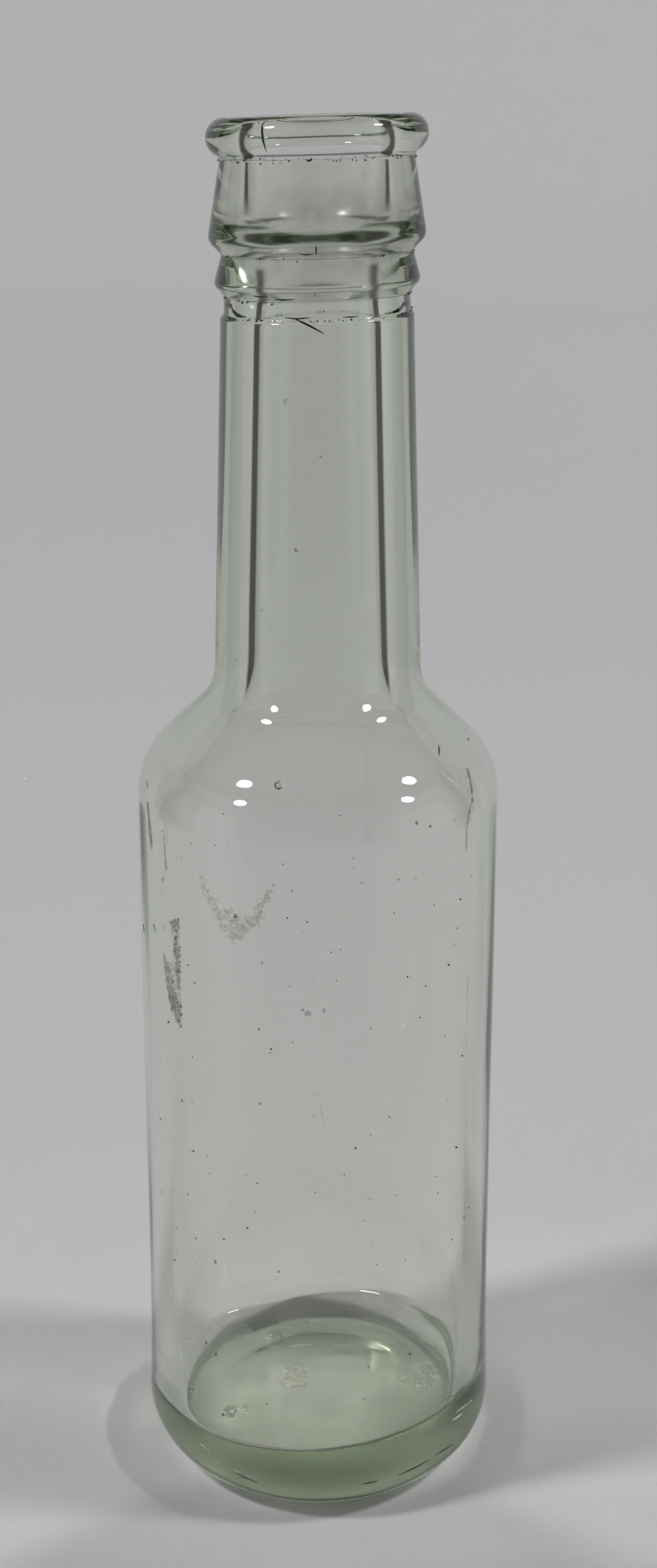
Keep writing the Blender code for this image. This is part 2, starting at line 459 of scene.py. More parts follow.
def bubble_tree(sizes):
    """A round hollow at each point, of the point's own size, its faces towards the air in it."""
    tree, given, result = new_tree("bubbles", sizes)
    ball = node(tree, "GeometryNodeMeshIcoSphere", {"Radius": 1.0, "Subdivisions": 3})
    smooth = node(tree, "GeometryNodeSetShadeSmooth", {"Geometry": ball.outputs["Mesh"]})
    size = node(tree, "GeometryNodeInputNamedAttribute", {"Name": "size"}, data_type="FLOAT").outputs[0]
    longer = joined(tree, size, size, times(tree, size, given["Stretch"]))
    placed = node(tree, "GeometryNodeInstanceOnPoints", {
        "Points": given["Geometry"], "Instance": smooth.outputs[0], "Scale": longer,
    })
    realized = node(tree, "GeometryNodeRealizeInstances", {"Geometry": placed.outputs[0]})
    hollow = node(tree, "GeometryNodeFlipFaces", {"Mesh": realized.outputs[0]})
    end_tree(tree, hollow.outputs[0], given, result)
    return tree


def mesh_with(name, points, faces, label, values):
    """A mesh whose every point carries one number, under this label."""
    mesh = bpy.data.meshes.new(name)
    mesh.from_pydata(points, [], faces)
    mesh.attributes.new(label, "FLOAT", "POINT").data.foreach_set("value", values)
    return mesh


glass = green_glass()
inner_section = evenly(inside_line())
section = evenly(inside_line() + outside_line())
glass_sizes = {
    "Sides": TURNED_SIDES,
    "Inside rows": len(inner_section),
    "Seed": 3.0,
    "Waves round": 1.6,
    "Waves up": 12.0,
    "Inner shift": 5.0,
    "Inner waves": 0.7 * MM,
    "Outer waves": 0.12 * MM,
    "Still radius": 5.0 * MM,
    "Calm above": 125.0 * MM,
    "Calm below": 95.0 * MM,
    "Neck waves": 0.15,
    "Floor top": FLOOR_HEIGHT + FLOOR_ARC,
    "Floor fade": FLOOR_TILT_FADE,
    "Floor tilt": FLOOR_TILT,
    "Mouth from": MOUTH_TILT_FROM,
    "Mouth full": MOUTH_TILT_FULL,
    "Mouth tilt": MOUTH_TILT,
    "Material": glass,
}
section_mesh = line_mesh("glass_section", [(r, 0.0, z) for r, z in section])
bottle = grow("glass_bottle", section_mesh, turning_tree(glass_sizes), glass_sizes)

# Bubbles caught in the wall: photograph pixel, and radius in pixels. Many finer ones are strewn at random.
BUBBLES = [
    (458, 1290, 5.6), (387, 1505, 3.0), (686, 1354, 2.4), (781, 1217, 2.2), (487, 904, 2.6),
    (527, 751, 1.6), (354, 2073, 2.6), (458, 2089, 2.0), (299, 1808, 2.2), (431, 1582, 1.6),
    (480, 1464, 1.5), (313, 1386, 1.4), (655, 1445, 1.6), (648, 1500, 1.3), (560, 1560, 1.2),
    (700, 1620, 1.6), (610, 1690, 1.3), (444, 1730, 1.3), (640, 1835, 1.4), (340, 1900, 1.3),
    (566, 1930, 1.4), (720, 1960, 1.5), (420, 1990, 1.2), (752, 1525, 1.5), (476, 1620, 1.2),
    (465, 1420, 1.3), (365, 1340, 1.2), (500, 1150, 1.4), (566, 1142, 1.2), (390, 1085, 1.3),
]
PIXEL_WIDTH = 0.083 * MM
NECK_ROOT_ROW = 1130
SHOULDER_ROW = 1310
SMALL_BUBBLES = 70


def in_wall(px, row):
    """A place about half way through the wall behind a pixel: in the neck, the shoulder or the body."""
    if row < NECK_ROOT_ROW:
        return seen(px, row, NECK_TOP[0] + 0.9 * MM, NECK_TOP[0] - 1.0 * MM)
    if row < SHOULDER_ROW:
        return seen(px, row, BODY_RADIUS - 0.8 * MM, BODY_RADIUS - 2.3 * MM)
    return seen(px, row, BODY_RADIUS, BODY_RADIUS - 1.5 * MM)


bubble_places = [in_wall(px, row) for px, row, radius in BUBBLES]
bubble_radii = [radius * PIXEL_WIDTH for px, row, radius in BUBBLES]
chance = random.Random(11)
for i in range(SMALL_BUBBLES):
    turn = chance.uniform(0, math.tau)
    out = BODY_RADIUS - chance.uniform(0.9, 2.3) * MM
    bubble_places.append((out * math.cos(turn), out * math.sin(turn), chance.uniform(16, 92) * MM))
    bubble_radii.append(chance.uniform(0.06, 0.16) * MM)
bubble_points = mesh_with("bubble_points", bubble_places, [], "size", bubble_radii)
bubble_sizes = {"Stretch": 1.1, "Material": glass}
bubbles = grow("bubbles", bubble_points, bubble_tree(bubble_sizes), bubble_sizes)
whole = bmesh.new()
whole.from_mesh(bottle.data)
whole.from_mesh(bubbles.data)
whole.to_mesh(bottle.data)
whole.free()
bpy.data.objects.remove(bubbles, do_unlink=True)

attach(bottle, "root")
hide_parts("bottle")


# What the sauce left: grainy olive crusts and dark runs high on the inner wall, and a thin brown film that
# dried in a hanging bow. Two of the runs, on the right, are no residue but painted shade: dark lines that
# the uneven glass of that wall makes by bending light. Each is laid on the wall where the photograph shows
# it.
ON_WALL = INNER_RADIUS - 0.3 * MM
CRUST_SKIN = [
    (270, 1511), (291, 1508), (294, 1540), (295, 1580), (296, 1640), (298, 1694), (288, 1690),
    (276, 1664), (266, 1632), (257, 1596), (252, 1563), (259, 1563), (270, 1580), (278, 1575),
    (277, 1545),
]
CRUSTS = [
    [(272, 1513), (281, 1509), (290, 1511), (292, 1533), (285, 1537), (279, 1527)],
    [(280, 1536), (288, 1540), (293, 1570), (294, 1618), (287, 1628), (284, 1590), (279, 1560)],
    [
        (251, 1562), (258, 1564), (272, 1587), (280, 1602), (285, 1640), (278, 1655), (270, 1640),
        (261, 1604),
    ],
    [(268, 1640), (284, 1632), (294, 1652), (296, 1690), (289, 1686), (277, 1662)],
    [(254, 1443), (263, 1441), (261, 1452), (257, 1455)],
    [(248, 1465), (252, 1465), (255, 1473), (251, 1473)],
]
RUNS_AND_SHADE_LINES = [
    [(258, 1370), (262, 1370), (266, 1398), (270, 1430), (264, 1434), (260, 1402)],
    [(258, 1516), (262, 1516), (264, 1531), (260, 1532)],
    # The next two are painted shade: dark lines that the uneven right wall makes by bending light.
    [
        (782, 1272), (788, 1272), (785, 1300), (783, 1326), (779, 1350), (777, 1400), (771, 1400),
        (772, 1350), (779, 1320),
    ],
    [
        (806, 1600), (811, 1600), (809, 1640), (800, 1686), (786, 1726), (780, 1724), (792, 1686),
        (802, 1643),
    ],
]
BOW = [
    (318, 1430), (333, 1428), (341, 1456), (352, 1470), (362, 1484), (384, 1488), (394, 1502),
    (407, 1498), (418, 1480), (430, 1464), (446, 1448), (462, 1440), (452, 1470), (442, 1494),
    (436, 1514), (420, 1532), (402, 1546), (382, 1560), (366, 1548), (352, 1524), (342, 1502),
    (331, 1482), (322, 1458),
]


def patch_mesh(name, outlines, place):
    """One flat face for each outline of pixels, its corners laid by the place function."""
    points = []
    faces = []
    for outline in outlines:
        faces.append(range(len(points), len(points) + len(outline)))
        points += [place(px, row) for px, row in outline]
    mesh = bpy.data.meshes.new(name)
    mesh.from_pydata(points, [], faces)
    return mesh


def on_radius(tree, radius):
    """The place of each point, moved out or in to this radius round Z, and its way out from Z."""
    place = tree.nodes.new("GeometryNodeInputPosition").outputs[0]
    out = vector_math(tree, "NORMALIZE", vector_math(tree, "MULTIPLY", place, (1.0, 1.0, 0.0)))
    height = vector_math(tree, "MULTIPLY", place, (0.0, 0.0, 1.0))
    return vector_math(tree, "ADD", vector_math(tree, "SCALE", out, Scale=radius), height), out


def chance_between(tree, least, most, seed):
    """A number between two others, drawn for each point."""
    inputs = {"Min": least, "Max": most, "Seed": seed}
    return node(tree, "FunctionNodeRandomValue", inputs, data_type="FLOAT").outputs[1]


def crust_tree(sizes):
    """Scatters flat rough grains over the patches, each lying on the round wall."""
    tree, given, result = new_tree("crust", sizes)
    seed = given["Seed"]
    spread = node(tree, "GeometryNodeDistributePointsOnFaces", {
        "Mesh": given["Geometry"], "Density": given["Density"], "Seed": seed,
    })
    place, out = on_radius(tree, given["Wall radius"])
    laid = node(tree, "GeometryNodeSetPosition", {
        "Geometry": spread.outputs["Points"], "Position": place,
    })
    facing = node(tree, "FunctionNodeAlignRotationToVector", {"Vector": out}, axis="Z").outputs[0]
    spin = node(tree, "FunctionNodeAxisAngleToRotation", {
        "Axis": (0.0, 0.0, 1.0), "Angle": chance_between(tree, 0.0, math.tau, seed),
    })
    turned = node(tree, "FunctionNodeRotateRotation", {
        "Rotation": facing, "Rotate By": spin.outputs[0],
    }, rotation_space="LOCAL").outputs[0]
    across = chance_between(tree, given["Smallest"], given["Largest"], plus(tree, seed, 7.0))
    narrow = times(tree, across, given["Narrowness"])
    grain = node(tree, "GeometryNodeMeshIcoSphere", {"Radius": 1.0, "Subdivisions": 2})
    placed = node(tree, "GeometryNodeInstanceOnPoints", {
        "Points": laid.outputs[0],
        "Instance": grain.outputs["Mesh"],
        "Rotation": turned,
        "Scale": joined(tree, across, narrow, times(tree, across, given["Thickness"])),
    })
    realized = node(tree, "GeometryNodeRealizeInstances", {"Geometry": placed.outputs[0]})
    lumpy = node(tree, "ShaderNodeTexNoise", {"Scale": 5000.0}, noise_dimensions="3D")
    push = vector_math(tree, "SUBTRACT", lumpy.outputs["Color"], (0.5, 0.5, 0.5))
    rough = node(tree, "GeometryNodeSetPosition", {
        "Geometry": realized.outputs[0], "Offset": vector_math(tree, "SCALE", push, Scale=given["Lumps"]),
    })
    end_tree(tree, rough.outputs[0], given, result)
    return tree


def inside_outline(px, row, outline):
    """Whether a pixel lies inside an outline of pixels."""
    inside = False
    for (x0, y0), (x1, y1) in zip(outline, outline[1:] + outline[:1]):
        if (y0 > row) != (y1 > row) and px < x0 + (x1 - x0) * (row - y0) / (y1 - y0):
            inside = not inside
    return inside


def rim_distance(px, row, outline):
    """How many pixels a pixel is from the nearest side of an outline."""
    here = Vector((px, row))
    nearest = 1000.0
    for side in zip(outline, outline[1:] + outline[:1]):
        a, b = Vector(side[0]), Vector(side[1])
        part = min(1.0, max(0.0, (here - a).dot(b - a) / max((b - a).length_squared, 0.001)))
        nearest = min(nearest, (here - a - (b - a) * part).length)
    return nearest


def film_mesh(name, outlines, place, cell, rim):
    """A fine skin of square cells over each outline of pixels. Its cover runs from 0 at the outline to 1
    at rim pixels in."""
    points = []
    covers = []
    faces = []
    for outline in outlines:
        left = min(px for px, row in outline) - cell
        top = min(row for px, row in outline) - cell
        wide = math.ceil((max(px for px, row in outline) + cell - left) / cell)
        tall = math.ceil((max(row for px, row in outline) + cell - top) / cell)
        known = {}
        for i in range(wide):
            for j in range(tall):
                if not inside_outline(left + (i + 0.5) * cell, top + (j + 0.5) * cell, outline):
                    continue
                corners = [(i, j), (i, j + 1), (i + 1, j + 1), (i + 1, j)]
                for corner in corners:
                    if corner not in known:
                        px = left + corner[0] * cell
                        row = top + corner[1] * cell
                        known[corner] = len(points)
                        points.append(place(px, row))
                        reach = rim_distance(px, row, outline) / rim
                        covers.append(min(1.0, reach) if inside_outline(px, row, outline) else 0.0)
                faces.append([known[corner] for corner in corners])
    return mesh_with(name, points, faces, "cover", covers)


def mixed(tree, part, first, second):
    """A colour between two others."""
    return node(tree, "ShaderNodeMix", {0: part, 6: first, 7: second}, data_type="RGBA").outputs[2]


def dried_matter_group():
    """A shader group: a coat mottled between two colours, and how much of it is left. It makes the dried
    matter, and also the painted shade and painted light.
    """
    tree = bpy.data.node_groups.new("dried_matter", "ShaderNodeTree")
    sockets = {
        "Place": "NodeSocketVector", "Cover": "NodeSocketFloat", "Dark": "NodeSocketColor",
        "Light": "NodeSocketColor", "Grain": "NodeSocketFloat", "Holes": "NodeSocketFloat",
        "Detail": "NodeSocketFloat", "Reach": "NodeSocketFloat", "Bare below": "NodeSocketFloat",
        "Full above": "NodeSocketFloat", "Thickest": "NodeSocketFloat",
    }
    for name, kind in sockets.items():
        tree.interface.new_socket(name, in_out="INPUT", socket_type=kind)
    tree.interface.new_socket("Color", in_out="OUTPUT", socket_type="NodeSocketColor")
    tree.interface.new_socket("Left", in_out="OUTPUT", socket_type="NodeSocketFloat")
    given = tree.nodes.new("NodeGroupInput").outputs
    result = tree.nodes.new("NodeGroupOutput").inputs
    place = given["Place"]
    mottle = node(tree, "ShaderNodeTexNoise", {
        "Vector": place, "Scale": given["Grain"], "Detail": 4.0,
    }).outputs[0]
    colour = mixed(tree, ramp(tree, mottle, 0.35, 0.65), given["Dark"], given["Light"])
    tree.links.new(colour, result["Color"])
    torn = node(tree, "ShaderNodeTexNoise", {
        "Vector": place, "Scale": given["Holes"], "Detail": given["Detail"],
    }).outputs[0]
    held = plus(tree, torn, times(tree, given["Cover"], given["Reach"]))
    left = ramp(tree, held, given["Bare below"], given["Full above"])
    tree.links.new(times(tree, left, given["Thickest"]), result["Left"])
    return tree


DRIED_MATTER = dried_matter_group()
DRIED_ROUGHNESS = 0.75
RAGGED = {"Detail": 6.0, "Reach": 0.3, "Bare below": 0.62, "Full above": 0.74}
CRUMBLED = {"Detail": 6.0, "Reach": 0.3, "Bare below": 0.55, "Full above": 0.9}
FADED = {"Detail": 6.0, "Reach": 0.3, "Bare below": 0.6, "Full above": 0.9}
SOFT = {"Detail": 1.0, "Reach": 1.0, "Bare below": 0.75, "Full above": 2.2}


def dried(name, dark, light, grain, holes=None, thickest=1.0, edge=RAGGED):
    """Dull dried matter, also used for painted shade and painted light. With holes it is a film, torn or
    blotched by a noise of that size.
    """
    material, tree, shader = new_material(name)
    shader.inputs["Roughness"].default_value = DRIED_ROUGHNESS
    matter = tree.nodes.new("ShaderNodeGroup")
    matter.node_tree = DRIED_MATTER
    tree.links.new(tree.nodes.new("ShaderNodeTexCoord").outputs["Object"], matter.inputs["Place"])
    matter.inputs["Dark"].default_value = (*dark, 1.0)
    matter.inputs["Light"].default_value = (*light, 1.0)
    matter.inputs["Grain"].default_value = grain
    tree.links.new(matter.outputs["Color"], shader.inputs["Base Color"])
    if holes:
        cover = node(tree, "ShaderNodeAttribute", attribute_name="cover").outputs["Fac"]
        tree.links.new(cover, matter.inputs["Cover"])
        matter.inputs["Holes"].default_value = holes
        matter.inputs["Thickest"].default_value = thickest
        for part, value in edge.items():
            matter.inputs[part].default_value = value
        tree.links.new(matter.outputs["Left"], shader.inputs["Alpha"])
    return material


def lay(piece):
    """A piece that lies on the glass rides with it and shares its slot."""
    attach(piece, "root")


def lay_skin(name, mesh, material):
    """A skin of this material on the glass."""
    mesh.materials.append(material)
    lay(add_object(name, mesh))


def on_inner_wall(px, row):
    return seen(px, row, BODY_RADIUS, ON_WALL)


crust_sizes = {
    "Density": 4.0e6,
    "Seed": 4,
    "Smallest": 0.06 * MM,
    "Largest": 0.24 * MM,
    "Narrowness": 0.6,
    "Thickness": 0.3,
    "Lumps": 0.1 * MM,
    "Wall radius": ON_WALL,
    "Material": dried("olive_grains", (0.03, 0.03, 0.022), (0.16, 0.16, 0.13), 1800.0),
}
grain_patches = patch_mesh("grain_patches", CRUSTS, on_inner_wall)
lay(grow("dried_grains", grain_patches, crust_tree(crust_sizes), crust_sizes))

crust = dried("olive_crust", (0.08, 0.08, 0.06), (0.34, 0.34, 0.28), 2200.0, 1900.0, 0.52)
lay_skin("dried_crusts", film_mesh("crusts", CRUSTS, on_inner_wall, cell=1.5, rim=3.0), crust)
pale_crust = dried("pale_crust", (0.16, 0.16, 0.12), (0.5, 0.5, 0.42), 1800.0, 1500.0, 0.5, CRUMBLED)
lay_skin("crust_skin", film_mesh("crust_skin", [CRUST_SKIN], on_inner_wall, cell=1.5, rim=4.0), pale_crust)
# This dark material also paints the two lines of painted shade on the right.
dark_run_and_shade_line = dried("dark_runs_and_shade_lines", (0.04, 0.045, 0.035), (0.2, 0.21, 0.17), 1800.0, 1500.0, 0.6)
lay_skin("dried_runs_and_shade_lines", film_mesh("runs", RUNS_AND_SHADE_LINES, on_inner_wall, cell=1.0, rim=1.5), dark_run_and_shade_line)
brown_film = dried("brown_film", (0.4, 0.33, 0.28), (0.66, 0.58, 0.5), 1400.0, 1800.0, 0.5, FADED)
lay_skin("dried_bow", film_mesh("bow", [BOW], on_inner_wall, cell=2.0, rim=11.0), brown_film)

# Scum rings, a milky haze that is partly painted light, small white spots of painted highlight for glints,
# and dark specks on the floor inside, laid a little over it.
# A ring's and the haze's four numbers are the middle and the half-widths of its ellipse, in pixels.
ON_FLOOR = FLOOR_HEIGHT + FLOOR_CROWN + 0.1 * MM
FLOOR_RINGS = [(388, 2321, 24, 13), (486, 2262, 26, 24), (690, 2262, 34, 26), (452, 2195, 22, 14)]
HAZE_AND_PAINTED_LIGHT = (525, 2272, 176, 86)
FLOOR_GLINTS = [
    (485, 2318, 3.2, 5.0), (477, 2309, 2.2, 3.6), (570, 2325, 2.4, 2.6), (593, 2325, 3.0, 3.2),
    (576, 2359, 4.5, 1.8), (611, 2353, 3.5, 1.5), (456, 2357, 3.2, 1.8), (372, 2296, 2.4, 1.6),
    (418, 2290, 2.0, 1.4), (655, 2290, 2.4, 1.6),
]
FLOOR_SPECKS = [
    (603, 2245), (676, 2226), (357, 2226), (337, 2207), (596, 2300), (366, 2326), (403, 2312),
]
SPECK_WIDE = 2.4
SPECK_TALL = 2.8


def on_floor(px, row):
    return seen(px, row, BODY_RADIUS, INNER_RADIUS, ON_FLOOR)


def round_patch(px, row, wide, tall, corners=14):
    """Pixels round an ellipse that a flat round stain shows as."""
    turns = [math.tau * i / corners for i in range(corners)]
    return [(px + wide * math.cos(a), row + tall * math.sin(a)) for a in turns]


stains = [round_patch(*ring) for ring in FLOOR_RINGS]
floor_scum = dried("floor_scum", (0.3, 0.3, 0.24), (0.6, 0.6, 0.52), 1400.0, 900.0, 0.45)
lay_skin("floor_stains", film_mesh("stains", stains, on_floor, cell=2.0, rim=7.0), floor_scum)
# Partly painted light: a pale film that also brightens the floor, for the lamp light that the base gathers
# there.
milk_and_painted_light = dried("milky_film_and_painted_light", (0.84, 0.84, 0.78), (0.9, 0.9, 0.85), 500.0, 130.0, 0.34, SOFT)
lay_skin("floor_haze_and_painted_light", film_mesh("haze", [round_patch(*HAZE_AND_PAINTED_LIGHT, 40)], on_floor, cell=4.0, rim=60.0), milk_and_painted_light)
# Painted highlights: small white spots where glints sparkle on the floor.
glints = [round_patch(*glint, 7) for glint in FLOOR_GLINTS]
painted_glint_white = dried("painted_glint_white", (0.8, 0.8, 0.76), (0.95, 0.95, 0.92), 1500.0)
lay_skin("floor_glints", patch_mesh("glints", glints, on_floor), painted_glint_white)
specks = [round_patch(px, row, SPECK_WIDE, SPECK_TALL, 7) for px, row in FLOOR_SPECKS]
dark_speck = dried("dark_specks", (0.03, 0.03, 0.02), (0.12, 0.12, 0.09), 1500.0)
lay_skin("floor_specks", patch_mesh("specks", specks, on_floor), dark_speck)


# Marks on the outside: a dark scratch below the bead, a hair mark in the lip, ticks and scuffs of use,
# pinpoint specks, and grime that has stayed in the grooves of the mouth. Among them are painted shade round
# the foot and round the largest bubble, and painted highlight in two pale scuffs on the heel. A stroke is
# the pixels that it runs through, and its width in pixels.
PROUD = 0.02 * MM
DARK_STROKES = [
    [(484, 524), (498, 530), (512, 537), (532, 548), 3.4],
    [(436, 198), (431, 206), (430, 218), (432, 232), (438, 249), 2.2],
    [(519, 404), (520, 411), (519, 419), 3.0],
    [(519, 481), (518, 488), 2.6],
    [(235, 1518), (237, 1531), 2.4],
    [(241, 1283), (243, 1294), 2.4],
    [(596, 2438), (608, 2436), (620, 2433), 2.4],
    [(655, 2424), (672, 2416), (690, 2407), (704, 2399), 2.6],
    [(716, 2390), (730, 2382), (744, 2373), 2.6],
    [(388, 2420), (404, 2428), (424, 2436), 2.0],
    [(721, 1224), (722, 1232), (722, 1242), 2.8],
    [(416, 486), (427, 488), (440, 487), 2.4],
    [(452, 491), (466, 493), (484, 492), 2.6],
    [(388, 520), (396, 521), (404, 520), 2.4],
    [(468, 522), (488, 524), (510, 522), 3.0],
    [(563, 521), (576, 521), (590, 520), 2.4],
    [(492, 417), (503, 419), (515, 418), 2.6],
    [(502, 262), (508, 264), (513, 263), 2.6],
    [(598, 256), (604, 255), 2.4],
    [(383, 259), (388, 261), 2.4],
    [(430, 1000), (431, 1006), 2.0],
]
PALE_STROKES_AND_GLINT = [
    # The first two, at the right of the heel, are partly painted highlight, for a glint there.
    [(750, 2320), (762, 2311), (776, 2300), 3.2],
    [(744, 2333), (752, 2328), (760, 2322), 2.6],
    [(384, 2414), (398, 2420), (412, 2428), 2.4],
    [(330, 2372), (345, 2384), 2.4],
    [(352, 2400), (360, 2404), 2.6],
    [(602, 1360), (612, 1364), 2.4],
    [(727, 1269), (739, 1280), (752, 1292), 2.0],
]
FAINT_STROKE = [(521, 1796), (526, 1815), (531, 1840), (535, 1868), 3.6]
# A ring of painted shade round the largest bubble: its middle and half-widths in pixels, and its stroke
# width
PAINTED_BUBBLE_RIM = (458, 1290, 5.6, 6.0)
PAINTED_RIM_STROKE = 2.3
SMUDGES = [(470, 661, 6, 8), (505, 1665, 7, 6), (533, 1660, 4, 6)]
OUTER_RUN = [(240, 1316), (245, 1317), (248, 1345), (251, 1370), (252, 1396), (246, 1396), (243, 1360)]
PINPOINTS = 38
MOUTH_ROW = 600
BODY_ROW = 1200
outside_points = outside_line()


def outer_radius(height):
    """How far out the glass is at this height, from its section."""
    reach = 0.0
    for (r0, z0), (r1, z1) in zip(outside_points, outside_points[1:]):
        if min(z0, z1) <= height <= max(z0, z1) and z0 != z1:
            reach = max(reach, r0 + (r1 - r0) * (height - z0) / (z1 - z0))
    return reach


def on_outside(px, row):
    """The place on the outer face that a pixel shows, a hair proud of it."""
    radius = HEEL_RADIUS if row > BODY_ROW else LIP_RADIUS
    tilt = MOUTH_TILT if row < MOUTH_ROW else 0.0
    for _ in range(12):
        point = seen(px, row, radius)
        radius = outer_radius(point.z - tilt * point.x) + PROUD
    return seen(px, row, radius)


def stroke(mark):
    """The outline, in pixels, of a thin stroke, narrow at both ends."""
    points = mark[:-1]
    width = mark[-1]
    upper = []
    lower = []
    for i, (px, row) in enumerate(points):
        before = points[max(0, i - 1)]
        after = points[min(len(points) - 1, i + 1)]
        length = math.dist(before, after)
        side = (-(after[1] - before[1]) / length, (after[0] - before[0]) / length)
        half = width / 2 if 0 < i < len(points) - 1 else width / 5
        upper.append((px + side[0] * half, row + side[1] * half))
        lower.append((px - side[0] * half, row - side[1] * half))
    return upper + lower[::-1]


# Painted shade: a dark ring on the outside round the largest bubble, for the dark rim that its edge shows
ring = round_patch(*PAINTED_BUBBLE_RIM, 18)
dark_marks_and_rim_shade = [stroke(mark) for mark in DARK_STROKES + [ring + ring[:1] + [PAINTED_RIM_STROKE]]]
dark_scratch_and_rim_shade = dried("dark_scratch_and_rim_shade", (0.01, 0.01, 0.01), (0.06, 0.06, 0.05), 1500.0)
lay_skin("dark_scratches_and_rim_shade", patch_mesh("dark_marks_and_rim_shade", dark_marks_and_rim_shade, on_outside), dark_scratch_and_rim_shade)
scatter = random.Random(5)
pinpoints = []
for i in range(PINPOINTS):
    px = scatter.uniform(262, 780)
    row = scatter.uniform(1330, 2080)
    size = scatter.uniform(0.9, 2.0)
    pinpoints.append(round_patch(px, row, size, size, 6))
lay_skin("pinpoint_specks", patch_mesh("pinpoints", pinpoints, on_outside), dark_scratch_and_rim_shade)
pale_marks_and_glint = [stroke(mark) for mark in PALE_STROKES_AND_GLINT]
pale_scuff_and_glint = dried("pale_scuff_and_glint", (0.5, 0.52, 0.48), (0.8, 0.82, 0.78), 1500.0)
lay_skin("pale_scuffs_and_glint", patch_mesh("pale_marks_and_glint", pale_marks_and_glint, on_outside), pale_scuff_and_glint)
grey_smudge = dried("grey_smudge", (0.2, 0.2, 0.18), (0.35, 0.35, 0.32), 900.0, 900.0, 0.5)
smudges = [round_patch(*mark) for mark in SMUDGES] + [stroke(FAINT_STROKE)]
lay_skin("smudges", film_mesh("smudge_marks", smudges, on_outside, cell=1.2, rim=3.0), grey_smudge)
lay_skin("outer_runs", film_mesh("outer_run_marks", [OUTER_RUN], on_outside, cell=1.0, rim=1.8), dark_run_and_shade_line)


def band_mesh(name, low_edge, high_edge, within, tilt, cover_at):
    """A band round the outside beyond a radius, just proud of it, with a cover for each height and turn."""
    section = [(r, z) for r, z in outside_points if low_edge <= z <= high_edge and r > within]
    turned = 96
    points = []
    covers = []
    faces = []
    for i, (r, height) in enumerate(section):
        part = (height - low_edge) / (high_edge - low_edge)
        for j in range(turned):
            angle = math.tau * j / turned
            across = (r + PROUD) * math.cos(angle)
            points.append((across, (r + PROUD) * math.sin(angle), height + across * tilt))
            covers.append(cover_at(part, angle))
            if i < len(section) - 1:
                here = i * turned + j
                after = i * turned + (j + 1) % turned
                faces.append((here, here + turned, after + turned, after))
    return mesh_with(name, points, faces, "cover", covers)


# Painted shade: full at the bottom of the foot, fading out upwards.
def foot_shade_cover(part, angle):
    return 1 - part


def mouth_cover(part, angle):
    return min(1.0, 6 * part, 6 * (1 - part)) * (0.85 + 0.15 * math.cos(angle))


# Painted shade round the foot, darkest at its bottom edge where the glass meets the floor, and a grey haze
# of handling on the mouth, a little thicker on its right side
foot_painted_shade = dried("foot_painted_shade", (0.04, 0.05, 0.04), (0.07, 0.08, 0.065), 900.0, 60.0, 1.0, SOFT)
foot_shade_band = band_mesh("foot_shade_band", 0.2 * MM, 3.8 * MM, 17.6 * MM, 0.0, foot_shade_cover)
lay_skin("foot_painted_shade", foot_shade_band, foot_painted_shade)
haze = dried("mouth_haze", (0.1, 0.095, 0.08), (0.16, 0.155, 0.135), 900.0, 260.0, 0.4, SOFT)
mouth_band = band_mesh("mouth_band", 162.8 * MM, 179.4 * MM, 11.0 * MM, MOUTH_TILT, mouth_cover)
lay_skin("mouth_haze", mouth_band, haze)

# Grime in the grooves: ring height, ring radius, grains, and how far they stray up and down
GROOVES = [
    (179.1 * MM, 12.06 * MM, 170, 0.35 * MM),
    (167.8 * MM, 11.98 * MM, 150, 0.25 * MM),
    (162.75 * MM, 11.68 * MM, 210, 0.15 * MM),
    (160.6 * MM, 11.82 * MM, 210, 0.15 * MM),
]


def grime_tree(sizes):
    """Small dark grains dotted at random round a ring, thick in some parts of it and thin in others."""
    tree, given, result = new_tree("grime", sizes)
    seed = given["Seed"]
    turn = chance_between(tree, 0.0, math.tau, seed)
    below = times(tree, given["Stray"], -1.0)
    stray = chance_between(tree, below, given["Stray"], plus(tree, seed, 1.0))
    across = times(tree, given["Radius"], math_node(tree, "COSINE", turn))
    along = times(tree, given["Radius"], math_node(tree, "SINE", turn))
    lift = plus(tree, stray, times(tree, across, given["Tilt"]))
    place = joined(tree, across, along, plus(tree, given["Height"], lift))
    dots = node(tree, "GeometryNodePoints", {"Count": given["Grains"], "Position": place})
    size = chance_between(tree, given["Smallest"], given["Largest"], plus(tree, seed, 2.0))
    patchy = node(tree, "ShaderNodeTexNoise", {"Scale": 160.0, "Detail": 1.0}).outputs[0]
    grain = node(tree, "GeometryNodeMeshIcoSphere", {"Radius": 1.0, "Subdivisions": 1})
    placed = node(tree, "GeometryNodeInstanceOnPoints", {
        "Points": dots.outputs[0],
        "Instance": grain.outputs["Mesh"],
        "Scale": times(tree, size, ramp(tree, patchy, 0.35, 0.6)),
    })
    realized = node(tree, "GeometryNodeRealizeInstances", {"Geometry": placed.outputs[0]})
    end_tree(tree, realized.outputs[0], given, result)
    return tree


grime = dried("groove_grime", (0.02, 0.02, 0.015), (0.12, 0.11, 0.09), 1500.0)
grime_maker = None
for i, (height, radius, grains, stray) in enumerate(GROOVES):
    grime_sizes = {
        "Grains": grains,
        "Seed": 20 + i,
        "Height": height,
        "Radius": radius,
        "Stray": stray,
        "Tilt": MOUTH_TILT,
        "Smallest": 0.03 * MM,
        "Largest": 0.16 * MM,
        "Material": grime,
    }
    grime_maker = grime_maker or grime_tree(grime_sizes)
    start = bpy.data.meshes.new("groove_start")
    lay(grow(f"groove_grime_{i + 1}", start, grime_maker, grime_sizes))


